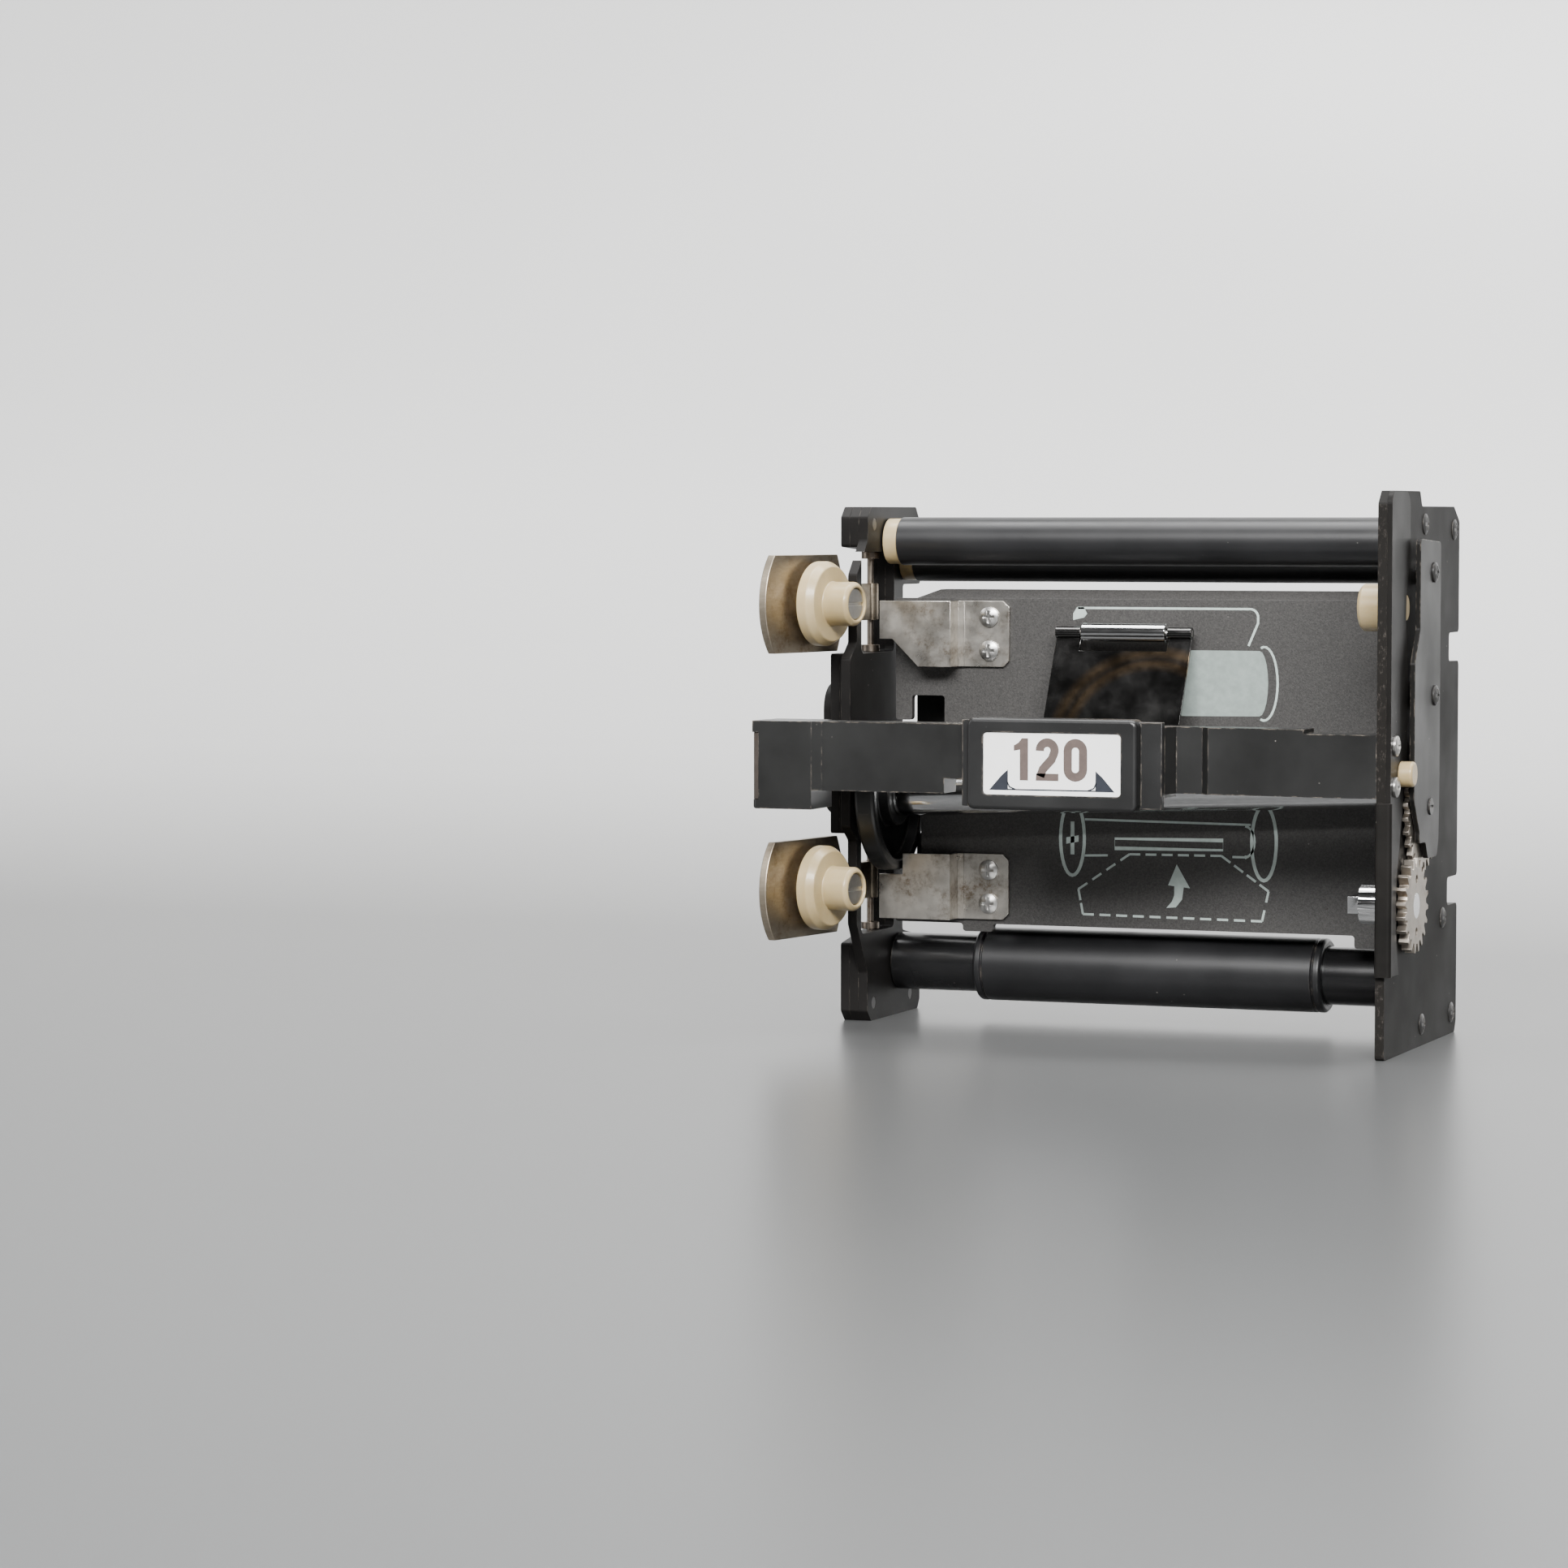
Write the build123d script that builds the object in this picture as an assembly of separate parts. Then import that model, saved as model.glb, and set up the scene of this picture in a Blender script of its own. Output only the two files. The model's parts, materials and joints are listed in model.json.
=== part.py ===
from build123d import *
import math
import os

# A 120 roll-film insert. Millimetres, X to the right, Y towards the lens, Z up.
# It is drawn with Z = 0 at the feet and Y = 0 at the right side plate's front edge.

# Side plates
inner_x = 35.0            # inner face of each side plate, from the middle
side_t = 1.1              # right side plate
layer_t = 1.2             # each of the three left plates
right_depth = 35.4
right_height = 66.2
left_front = 19.0
left_rear = 38.2
left_height = 64.4
left_waist_rear = 31.8
band_front = 15.2         # front edge of the inner left plate between its feet
window_front = 16.8
window_rear = 28.5
window_half = 6.3

# Spool axes, one above the other
spool_y = 9.4
supply_z = 52.5
takeup_z = 17.5
peg_r = 2.8
peg_length = 4.3

# Gears
gear_module = 0.518
takeup_teeth = 20
idler_teeth = 28
gear_x = inner_x + side_t + 0.25
takeup_gear_t = 1.2
idler_gear_t = 0.7
idler_y = 14.4
pitch_sum = gear_module * (takeup_teeth + idler_teeth) / 2
idler_z = takeup_z + math.sqrt(pitch_sum**2 - (idler_y - spool_y) ** 2)
cover_x = gear_x + idler_gear_t + 0.2
cover_t = 0.6

# Swing brackets
hinge_x = -inner_x - 1.5 * layer_t
hinge_y = 24.8
hinge_r = 0.42
bracket_t = 1.0
bracket_height = 12.0
bracket_reach = 26.0
bracket_open = 10.0       # degrees open in the rest position
cup_x = hinge_x + 0.55    # face of the bracket that carries the cup, when it is closed

# Back panel and what is fixed to it
panel_y = 24.8
panel_t = 1.0
panel_low = 12.3
panel_high = 53.0
panel_half = 33.4

# Rollers: axis y, axis z, radius
top_front = (26.6, 60.1, 3.0)
top_rear = (32.2, 57.7, 2.7)
bottom = (30.4, 6.8, 3.6)
sleeve_r = 4.6
shaft_r = 1.1
run_gap = 0.05            # running clearance on a radius

# Winding bar with its thumbwheel, leaning a little upwards to the right
bar_y = 21.8
bar_left_z = 28.2
bar_rise = 2.6
bar_r = 2.55
wheel_r = 9.3
wheel_t = 2.6

# Handle
handle_depth = 4.8
handle_low = 30.0
handle_high = 38.4
grip_left = -14.4
grip_right = 6.8
grip_low = 28.4
grip_high = 39.3
grip_front = -2.6

parts = {}


def block(x0, x1, y0, y1, z0, z1):
    return Pos((x0 + x1) / 2, (y0 + y1) / 2, (z0 + z1) / 2) * Box(x1 - x0, y1 - y0, z1 - z0)


def rod_x(x0, x1, y, z, r):
    return Pos((x0 + x1) / 2, y, z) * Rot(0, 90, 0) * Cylinder(r, x1 - x0)


def rod_y(x, y0, y1, z, r):
    return Pos(x, (y0 + y1) / 2, z) * Rot(90, 0, 0) * Cylinder(r, y1 - y0)


def rod_z(x, y, z0, z1, r):
    return Pos(x, y, (z0 + z1) / 2) * Cylinder(r, z1 - z0)


def side_sheet(x0, x1, points, radius):
    """A plate that faces sideways, from its outline in Y and Z."""
    outline = FilletPolyline(*points, radius=radius, close=True)
    return Pos(x0, 0, 0) * extrude(Plane.YZ * make_face(outline), amount=x1 - x0)


def front_sheet(y0, y1, points, radius):
    """A plate that faces forwards, from its outline in X and Z."""
    outline = FilletPolyline(*points, radius=radius, close=True)
    return Pos(0, y1, 0) * extrude(Plane.XZ * make_face(outline), amount=y1 - y0)


def cross_head(r, height):
    """A screw's head on Z = 0, domed, with a cross recess."""
    dome = Pos(0, 0, height - 2.2 * r) * Sphere(2.2 * r)
    head = Cylinder(r, height, align=(Align.CENTER, Align.CENTER, Align.MIN)) & dome
    slot = Pos(0, 0, height) * Box(1.25 * r, 0.28 * r, height)
    return head - slot - Rot(0, 0, 90) * slot


def screw(r, height, shank_r, shank_length):
    shank = Pos(0, 0, -shank_length / 2) * Cylinder(shank_r, shank_length)
    return cross_head(r, height) + shank


def facing_right(y, z, x):
    """Turns a piece made along +Z to point along +X."""
    return Pos(x, y, z) * Rot(0, 90, 0)


def facing_front(x, z, y):
    """Turns a piece made along +Z to point along -Y."""
    return Pos(x, y, z) * Rot(90, 0, 0)


# ---- Right side plate and its front rail
screw_r = 1.25
shank_r = 0.55
plate_screws = [(18.0, 62.3), (32.6, 61.6), (28.0, 14.6), (17.9, 2.6), (32.6, 2.6)]
right_out = inner_x + side_t
notch_depth = 5.0
right_outline = [
    (0, 0), (34.6, 0), (right_depth, 1.4), (right_depth, 15.9), (right_depth - notch_depth, 15.9),
    (right_depth - notch_depth, 19.3), (right_depth, 19.3), (right_depth, 45.6),
    (right_depth - notch_depth, 45.6), (right_depth - notch_depth, 49.1), (right_depth, 49.1),
    (right_depth, 62.6), (32.6, 64.4), (16.6, 64.4), (15.6, right_height),
    (1.5, right_height), (0, right_height - 1.5),
]
right_plate = side_sheet(inner_x, right_out, right_outline, 0.6)
for y, z in plate_screws:
    right_plate -= rod_x(inner_x - 1, right_out + 1, y, z, shank_r)
shaft_end = right_out - 0.4
for y, z, r in (top_front, top_rear, bottom):
    right_plate -= rod_x(inner_x - 1, shaft_end, y, z, shaft_r)
handle_screws = [(2.0, 31.8), (2.0, 36.6)]
for y, z in handle_screws:
    right_plate -= rod_x(inner_x - 1, right_out + 1, y, z, shank_r)

rail_t = 0.6
rail_out = right_out + rail_t
rail_rear = Spline(
    (4.4, 9.8), (3.2, 14.5), (3.2, 20.5), (5.6, 28.5), (7.6, 36.0), (7.9, 44.0), (6.9, 50.0), (8.6, 58.0),
)
rail_edge = rail_rear + Line((8.6, 58.0), (8.6, 63.8)) + RadiusArc((8.6, 63.8), (6.4, right_height), -2.2)
rail_edge += Line((6.4, right_height), (1.6, right_height)) + RadiusArc((1.6, right_height), (0, 64.6), -1.6)
rail_edge += Line((0, 64.6), (0, 9.8)) + Line((0, 9.8), (4.4, 9.8))
rail = Pos(right_out, 0, 0) * extrude(Plane.YZ * make_face(rail_edge), amount=rail_t)
fold_high = 30.0
fold = block(inner_x, rail_out + 0.3, -0.8, 0, 9.8, fold_high)
fold = fillet(fold.edges().filter_by(Axis.Z).group_by(Axis.Y)[0], 0.5)
rail += fold
for y, z in handle_screws:
    rail -= rod_x(right_out - 1, rail_out + 1, y, z, shank_r)

rail_screws = Compound(
    [facing_right(y, z, rail_out) * screw(1.2, 0.6, shank_r, rail_t + side_t + 3) for y, z in handle_screws]
)
side_screws = Compound(
    [facing_right(y, z, right_out) * screw(screw_r, 0.4, shank_r, side_t) for y, z in plate_screws]
)
detent_y = 4.7
detent_z = 33.2
detent = facing_right(detent_y, detent_z, rail_out) * Cylinder(
    1.5, 1.7, align=(Align.CENTER, Align.CENTER, Align.MIN)
)
detent = chamfer(detent.edges().group_by(Axis.X)[-1], 0.2)


# ---- Gears, take-up key and gear cover
def gear(teeth, thickness, first_tooth):
    """A spur gear on Plane.YZ with straight-sided teeth; first_tooth is a tooth's angle in degrees."""
    pitch_r = gear_module * teeth / 2
    outer_r = pitch_r + 0.85 * gear_module
    root_r = pitch_r - 1.2 * gear_module
    step = 360 / teeth
    points = []
    for tooth in range(teeth):
        middle = first_tooth + tooth * step
        for radius, share in ((root_r, -0.34), (outer_r, -0.12), (outer_r, 0.12), (root_r, 0.34)):
            angle = math.radians(middle + share * step)
            points.append((radius * math.cos(angle), radius * math.sin(angle)))
    return extrude(Plane.YZ * make_face(Polyline(*points, close=True)), amount=thickness)


mesh_angle = math.degrees(math.atan2(idler_z - takeup_z, idler_y - spool_y))
key_shaft_r = 1.5
takeup_gear = Pos(gear_x, spool_y, takeup_z) * gear(takeup_teeth, takeup_gear_t, mesh_angle)
takeup_gear -= rod_x(gear_x - 1, gear_x + 3, spool_y, takeup_z, key_shaft_r)
for side in (-1, 1):
    takeup_gear -= rod_x(gear_x - 1, gear_x + 3, spool_y, takeup_z + side * 3.1, 0.5)
right_plate -= rod_x(inner_x - 1, right_out + 1, spool_y, takeup_z, key_shaft_r + run_gap)

key_tip = inner_x - 5.2
takeup_key = rod_x(inner_x - 4.0, inner_x - 0.1, spool_y, takeup_z, 2.4)
takeup_key += block(key_tip, inner_x - 3.9, spool_y - 2.3, spool_y + 2.3, takeup_z - 1.0, takeup_z + 1.0)
takeup_key += rod_x(inner_x - 0.2, gear_x + takeup_gear_t, spool_y, takeup_z, key_shaft_r)

idler_step = 360 / idler_teeth
idler_turn = mesh_angle + 180 + idler_step / 2
idler_gear = Pos(gear_x, idler_y, idler_z) * gear(idler_teeth, idler_gear_t, idler_turn)
idler_axle_r = 1.0
idler_gear -= rod_x(gear_x - 1, gear_x + 3, idler_y, idler_z, idler_axle_r + run_gap)
cover_out = cover_x + cover_t
idler_axle = rod_x(inner_x, cover_out + 0.2, idler_y, idler_z, idler_axle_r)
idler_axle -= Pos(cover_out + 0.2, idler_y, idler_z) * Box(0.3, 1.6, 0.3)
right_plate -= rod_x(inner_x - 1, right_out + 1, idler_y, idler_z, idler_axle_r)

cover_outline = [
    (6.6, 30.0), (9.2, 26.2), (9.2, 24.8), (12.2, 24.8), (13.4, 22.8), (17.8, 22.8),
    (18.6, 24.8), (18.9, 30.0), (18.9, 60.2), (9.0, 60.6), (9.0, 50.0), (6.6, 46.0),
]
gear_cover = side_sheet(cover_x, cover_out, cover_outline, 0.7)
cover_posts = [(15.6, 56.6), (16.2, 42.0)]
gear_cover -= rod_x(cover_x - 1, cover_out + 1, idler_y, idler_z, idler_axle_r)
posts = []
cover_screws = []
for y, z in cover_posts:
    gear_cover -= rod_x(cover_x - 1, cover_out + 1, y, z, shank_r)
    right_plate -= rod_x(inner_x - 1, right_out + 1, y, z, shank_r)
    posts.append(rod_x(right_out, cover_x, y, z, 1.5) - rod_x(right_out, cover_x, y, z, shank_r))
    cover_screws.append(facing_right(y, z, cover_out) * screw(1.2, 0.5, shank_r, cover_out - inner_x))

# Supply peg: nylon, with a shoulder against the plate and a rivet tail through it
supply_peg = rod_x(inner_x - peg_length, inner_x, spool_y, supply_z, peg_r)
supply_peg = chamfer(supply_peg.edges().group_by(Axis.X)[0], 0.4)
supply_peg += rod_x(inner_x - 1.2, inner_x, spool_y, supply_z, 3.1)
supply_peg += rod_x(inner_x - 0.2, right_out, spool_y, supply_z, 1.5)
right_plate -= rod_x(inner_x - 1, right_out + 1, spool_y, supply_z, 1.5)

# The bar's far end runs in the right plate
bar_lean = math.degrees(math.atan2(bar_rise, 2 * inner_x))
bar_place = Pos(-inner_x, bar_y, bar_left_z) * Rot(0, -bar_lean, 0)


def along_bar(x0, x1, r):
    """A rod on the winding bar's axis, measured from the left plates' inner face."""
    return bar_place * rod_x(x0, x1, 0, 0, r)


bar_length = 2 * inner_x / math.cos(math.radians(bar_lean))
bar_end = bar_length + 0.6
right_plate -= along_bar(bar_length - 2, bar_end + 0.1, 1.5 + run_gap)

parts["right_side_plate"] = right_plate
parts["front_rail"] = rail
parts["rail_screws"] = rail_screws
parts["right_plate_screws"] = side_screws
parts["nylon_detent"] = detent
parts["takeup_gear"] = takeup_gear
parts["takeup_key"] = takeup_key
parts["idler_gear"] = idler_gear
parts["idler_axle"] = idler_axle
parts["gear_cover"] = gear_cover
parts["cover_posts"] = Compound(posts)
parts["cover_screws"] = Compound(cover_screws)
parts["supply_peg"] = supply_peg

# ---- Left plates: three layers, the inner one with windows for the hinge pins
corner = 1.3
inner_outline = [
    (left_front, corner), (left_front + corner, 0), (37.4, 0), (left_rear, 1.2), (left_rear, 9.4),
    (left_waist_rear, 10.6), (left_waist_rear, 54.6), (left_rear, 54.6), (left_rear, 62.4),
    (36.6, left_height), (left_front + corner, left_height), (left_front, left_height - corner),
    (left_front, 60.2), (band_front, 56.0), (band_front, 47.6), (12.8, 45.6), (12.8, 24.8),
    (band_front, 23.0), (band_front, 12.6), (left_front, 6.2),
]
outer_outline = [
    (left_front, corner), (left_front + corner, 0), (37.4, 0), (left_rear, 1.2), (left_rear, 9.4),
    (left_waist_rear, 10.6), (left_waist_rear, 54.6), (left_rear, 54.6), (left_rear, 62.4),
    (36.6, left_height), (left_front + corner, left_height), (left_front, left_height - corner),
    (left_front, 59.4), (window_rear, 58.8), (window_rear, 46.2),
    (15.4, 46.2), (15.4, 23.8), (window_rear, 23.8), (window_rear, 11.2), (left_front, 9.8),
]
layer_x = [-inner_x - layer * layer_t for layer in range(4)]
left_inner = side_sheet(layer_x[1], layer_x[0], inner_outline, 0.5)
left_middle = side_sheet(layer_x[2], layer_x[1], outer_outline, 0.4)
left_outer = side_sheet(layer_x[3], layer_x[2], outer_outline, 0.4)
for z in (supply_z, takeup_z):
    window = block(
        layer_x[1] - 1, layer_x[0] + 1, window_front, window_rear, z - window_half, z + window_half
    )
    left_inner -= fillet(window.edges().filter_by(Axis.X), 0.8)
foot_rivets = [(21.2, 2.2), (34.6, 2.2), (21.4, 62.2), (35.4, 61.6), (30.2, 42.8), (30.2, 26.6)]
left_stack = []
for layer in (left_inner, left_middle, left_outer):
    for y, z in foot_rivets:
        layer -= rod_x(layer_x[3] - 1, layer_x[0] + 1, y, z, 0.8)
    left_stack.append(layer)
left_inner, left_middle, left_outer = left_stack
left_rivets = []
for y, z in foot_rivets:
    rivet = rod_x(layer_x[3] - 0.3, layer_x[0], y, z, 0.8)
    left_rivets.append(rivet + rod_x(layer_x[3] - 0.3, layer_x[3], y, z, 1.4))

# Boss outside the left plates, which carries the handle's left end
boss_t = 1.8
boss_out = layer_x[3] - boss_t
left_boss = side_sheet(boss_out, layer_x[3], [(17.6, 26), (28.6, 26), (28.6, 42.4), (17.6, 42.4)], 3.2)
boss_rivets = [(25.6, 30.0), (25.6, 38.4)]
for y, z in boss_rivets:
    hole = rod_x(boss_out - 1, layer_x[0] + 1, y, z, 0.7)
    left_boss -= hole
    left_outer -= hole
    left_middle -= hole
    rivet = rod_x(boss_out - 0.3, layer_x[1], y, z, 0.7)
    left_rivets.append(rivet + rod_x(boss_out - 0.3, boss_out, y, z, 1.3))

# ---- Hinge pins, with a collar at each end of their window
collar_r = 1.15
collar_h = 0.9
pin_bite = 1.4
hinge_pins = []
for z in (supply_z, takeup_z):
    pin = rod_z(hinge_x, hinge_y, z - window_half - pin_bite, z + window_half + pin_bite, hinge_r)
    pin += rod_z(hinge_x, hinge_y, z + window_half - collar_h, z + window_half - 0.05, collar_r)
    pin += rod_z(hinge_x, hinge_y, z - window_half + 0.05, z - window_half + collar_h, collar_r)
    hinge_pins.append(pin)
    bite = rod_z(hinge_x, hinge_y, z - window_half - pin_bite, z + window_half + pin_bite, hinge_r)
    left_middle -= bite


# ---- Swing brackets and their spool cups, drawn closed and then opened about the hinge pin
def bracket():
    """A spool bracket on the XY plane's origin as its hinge, its arm along -Y."""
    half = bracket_height / 2
    arm_face = 0.55
    neck = 2.3
    knuckle_r = 1.0
    arm = [
        Line((-9.0, -half), (-(bracket_reach - 2.2), -half)),
        ThreePointArc((-(bracket_reach - 2.2), -half), (-bracket_reach, 0), (-(bracket_reach - 2.2), half)),
        Line((-(bracket_reach - 2.2), half), (-9.0, half)),
        Line((-9.0, half), (-7.4, neck)),
        Line((-7.4, neck), (0, neck)),
        Line((0, neck), (0, -neck)),
        Line((0, -neck), (-7.4, -neck)),
        Line((-7.4, -neck), (-9.0, -half)),
    ]
    plate = extrude(Plane.YZ * make_face(Curve() + arm), amount=bracket_t)
    solid = Pos(arm_face - bracket_t, 0, 0) * plate
    solid += Cylinder(knuckle_r, 2 * neck)
    return solid - Cylinder(hinge_r + run_gap, 4 * neck)


cup_reach = hinge_y - spool_y
cup_flange_r = 5.2
stub_r = 2.7
cup_seat = 1.0
cup_bore = 0.9


def cup():
    """A nylon spool cup along +X from the bracket's face."""
    flange = Pos(cup_seat + 1.1, 0, 0) * Rot(0, 90, 0) * Cylinder(cup_flange_r, 2.2)
    flange = chamfer(flange.edges().group_by(Axis.X)[-1], 0.9, 0.6)
    solid = Pos(cup_seat / 2 + 0.1, 0, 0) * Rot(0, 90, 0) * Cylinder(2.6, cup_seat - 0.1) + flange
    stub = Pos(cup_seat + 2.2 + 1.7, 0, 0) * Rot(0, 90, 0) * Cylinder(stub_r, 3.4)
    solid += chamfer(stub.edges().group_by(Axis.X)[-1], 0.4)
    recess = Pos(cup_seat + 5.6, 0, 0) * Rot(0, 90, 0) * Cylinder(2.0, 1.6)
    solid -= recess
    return solid - Rot(0, 90, 0) * Cylinder(cup_bore + run_gap, 20)


def cup_screw():
    """The slotted screw that a cup turns on, riveted into the bracket."""
    head = Pos(cup_seat + 5.1, 0, 0) * Rot(0, 90, 0) * Cylinder(1.85, 0.5)
    head -= Pos(cup_seat + 5.35, 0, 0) * Box(0.4, 5, 0.45)
    shank = Pos((cup_seat + 4.9 - bracket_t) / 2, 0, 0) * Rot(0, 90, 0)
    return head + shank * Cylinder(cup_bore, cup_seat + 4.9 + bracket_t)


brackets = {}
for name, z in (("upper", supply_z), ("lower", takeup_z)):
    swing = Pos(hinge_x, hinge_y, z) * Rot(0, 0, -bracket_open)
    on_arm = swing * Pos(cup_x - hinge_x, -cup_reach, 0)
    arm = swing * bracket() - on_arm * Rot(0, 90, 0) * Cylinder(cup_bore, 6)
    parts[name + "_bracket"] = arm
    parts[name + "_cup"] = on_arm * cup()
    parts[name + "_cup_screw"] = on_arm * cup_screw()

parts["left_inner_plate"] = left_inner
parts["left_middle_plate"] = left_middle
parts["left_outer_plate"] = left_outer
parts["left_boss"] = left_boss
parts["left_rivets"] = Compound(left_rivets)
parts["upper_hinge_pin"] = hinge_pins[0]
parts["lower_hinge_pin"] = hinge_pins[1]

# ---- Back panel: top lip that tapers at its left, notch for the thumbwheel, a tab at the bottom
panel_back = panel_y + panel_t
lip_rise = 1.1
lip_depth = 2.6
panel_outline = [
    (-panel_half, panel_low), (-24.4, panel_low), (-24.4, panel_low - 1.0), (-20.4, panel_low - 1.0),
    (-20.4, panel_low), (26.0, panel_low), (26.0, panel_low - 1.6), (panel_half + 1.6, panel_low - 1.6),
    (panel_half + 1.6, panel_high), (-panel_half, panel_high), (-panel_half, 37.7), (-31.2, 37.7),
    (-31.2, 40.8), (-26.9, 40.8), (-26.9, 36.4), (-30.0, 36.4), (-30.0, 18.0), (-panel_half, 18.0),
]
panel = front_sheet(panel_y, panel_back, panel_outline, 0.4)
lip_top = panel_high + lip_rise
lip_back = panel_back + lip_depth
lip = make_face(
    Polyline(
        (panel_y, panel_high), (panel_back, panel_high), (lip_back, lip_top - 0.9), (lip_back, lip_top),
        (panel_back, lip_top), close=True
    )
)
lip_start = -30.6
lip_bar = Pos(lip_start, 0, 0) * extrude(Plane.YZ * lip, amount=panel_half - lip_start)
taper = [(lip_start - 1, panel_high), (lip_start, panel_high), (-25.4, 55), (lip_start - 1, 55)]
taper_block = extrude(Plane.XZ * make_face(Polyline(*taper, close=True)), amount=6)
panel += lip_bar - Pos(0, lip_back + 1, 0) * taper_block

# Hold-down springs of the swing brackets, bent forwards towards the hinge pins
spring_t = 0.5
spring_step = 3.0
pad_left = -24.2
pad_right = -18.2
leaf_end = -34.3
spring_height = 8.2
pad_screw_x = -20.8


def hold_down(z_middle, below):
    """A spring whose outer end is cut back below, or above where the thumbwheel passes."""
    low = z_middle - spring_height / 2
    high = z_middle + spring_height / 2
    front = panel_y - spring_t
    leaf_front = front - spring_step
    step_x = pad_left - 1.2
    strip = block(pad_left, pad_right, front, panel_y, low, high)
    for z in (low, high):
        strip -= Pos(pad_right, panel_y, z) * Rot(0, 45, 0) * Box(1.1, 4, 1.1)
    strip += block(step_x, step_x + spring_t, leaf_front, front + 0.2, low, high)
    strip += block(step_x, pad_left + 0.1, front - 0.1, panel_y - 0.1, low, high)
    strip += block(leaf_end, step_x + 0.1, leaf_front, leaf_front + spring_t, low, high)
    strip += block(leaf_end, leaf_end + spring_t, leaf_front, leaf_front + 1.1, low, high)
    if below:
        cut_back = [(-36, low - 1), (-29.2, low - 1), (-29.2, low), (-32.6, low + 3.4), (-36, low + 3.4)]
        wedge = extrude(Plane.XZ * make_face(Polyline(*cut_back, close=True)), amount=8)
        return strip - Pos(0, panel_y + 1, 0) * wedge
    return strip - block(-36, -31.2, 15, 26, takeup_z + 1.0, high + 1)


pad_screws = []
for name, z, below in (("upper", 48.6, True), ("lower", 17.0, False)):
    strip = hold_down(z, below)
    for side in (-1, 1):
        hole = rod_y(pad_screw_x, panel_y - 3, panel_back + 1, z + side * 2.1, shank_r)
        strip -= hole
        panel -= hole
        place = facing_front(pad_screw_x, z + side * 2.1, panel_y - spring_t)
        pad_screws.append(place * screw(screw_r, 0.6, shank_r, spring_t + panel_t))
    parts[name + "_hold_down_spring"] = strip

# Film tension spring: a foot on the panel, an arm forwards, and a leaf that leans back to its roller
leaf_t = 0.3
tension_left = -11.4
tension_right = 6.0
bend_z = 34.4
roller_gap_left = -8.2
roller_gap_right = 3.0
roller_y = 22.6
roller_z = 48.9
ribbon = make_face(
    Polyline(
        (panel_y, 29.6), (panel_y, bend_z + 0.3), (17.7, 37.9), (23.0, 48.6), (22.74, 48.8), (17.2, 38.0),
        (17.2, 37.6), (panel_y - leaf_t, bend_z), (panel_y - leaf_t, 29.6), close=True
    )
)
tension_spring = Pos(tension_left, 0, 0) * extrude(Plane.YZ * ribbon, amount=tension_right - tension_left)
tension_spring -= block(roller_gap_left, roller_gap_right, 20, 26, roller_z - 2.2, roller_z + 3)
eye_r = 0.75
pin_r = 0.4
for x0, x1 in ((tension_left, roller_gap_left), (roller_gap_right, tension_right)):
    tension_spring += rod_x(x0, x1, roller_y, roller_z, eye_r)
tension_spring -= rod_x(tension_left - 1, tension_right + 1, roller_y, roller_z, pin_r)
tension_spring -= block(tension_left - 1, -8.6, 23.5, 26, 29, 35.0)
tension_spring -= block(3.4, 8, 23.5, 26, 29, 35.0)
foot_screw_x = (-5.6, 0.4)
foot_z = 31.6
tension_screws = []
for x in foot_screw_x:
    hole = rod_y(x, panel_y - 3, panel_back + 1, foot_z, shank_r)
    tension_spring -= hole
    panel -= hole
    place = facing_front(x, foot_z, panel_y - leaf_t)
    tension_screws.append(place * screw(1.2, 0.5, shank_r, leaf_t + panel_t))
foot_side = block(tension_left - 1, tension_right + 1, 15, 26, 29, bend_z - 0.1)
leaf_side = block(tension_left - 1, tension_right + 1, 15, 26, bend_z + 0.1, 52)
tension_foot = tension_spring & foot_side
tension_leaf = tension_spring & leaf_side
tension_leaf -= block(tension_left - 1, tension_right + 1, panel_y - 0.06, panel_y + 1, bend_z, bend_z + 1)
tension_pin = rod_x(tension_left, tension_right, roller_y, roller_z, pin_r)
tension_roller = rod_x(roller_gap_left + 0.2, roller_gap_right - 0.2, roller_y, roller_z, 1.2)
tension_roller -= rod_x(roller_gap_left - 1, roller_gap_right + 1, roller_y, roller_z, pin_r + run_gap)

# ---- Pressure plate on the lens side, sprung away from the panel on four guide pins
plate_front = 32.6
plate_t = 1.2
plate_half = 33.4
plate_low = 14.0
plate_high = 51.0
pressure_outline = [
    (-plate_half, plate_low), (plate_half, plate_low), (plate_half, plate_high), (-plate_half, plate_high),
    (-plate_half, 33.4), (-31.0, 33.4), (-31.0, 23.0), (-plate_half, 23.0),
]
pressure_plate = front_sheet(plate_front, plate_front + plate_t, pressure_outline, 0.8)
rib_y = plate_front + plate_t
for x in (-29.4, 29.4):
    pressure_plate += block(x - 0.6, x + 0.6, rib_y - 0.1, rib_y + 0.4, plate_low + 2, plate_high - 2)
guide_posts = []
guide_pins = []
for x in (-22.0, 22.0):
    for z in (22.0, 43.0):
        post = rod_y(x, panel_back, 29.8, z, 1.6)
        guide_posts.append(post - rod_y(x, panel_back + 0.4, 31, z, 0.8 + run_gap))
        guide_pins.append(rod_y(x, panel_back + 2.2, plate_front, z, 0.8))
bow = make_face(
    Polyline(
        (-18, panel_back), (-13, panel_back), (-3, 31.9), (3, 31.9), (13, panel_back), (18, panel_back),
        (18, panel_back + 0.4), (13.2, panel_back + 0.4), (3.2, 32.3), (-3.2, 32.3),
        (-13.2, panel_back + 0.4), (-18, panel_back + 0.4), close=True
    )
)
pressure_springs = Compound([Pos(0, 0, z) * extrude(bow, amount=6) for z in (19, 40)])

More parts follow.
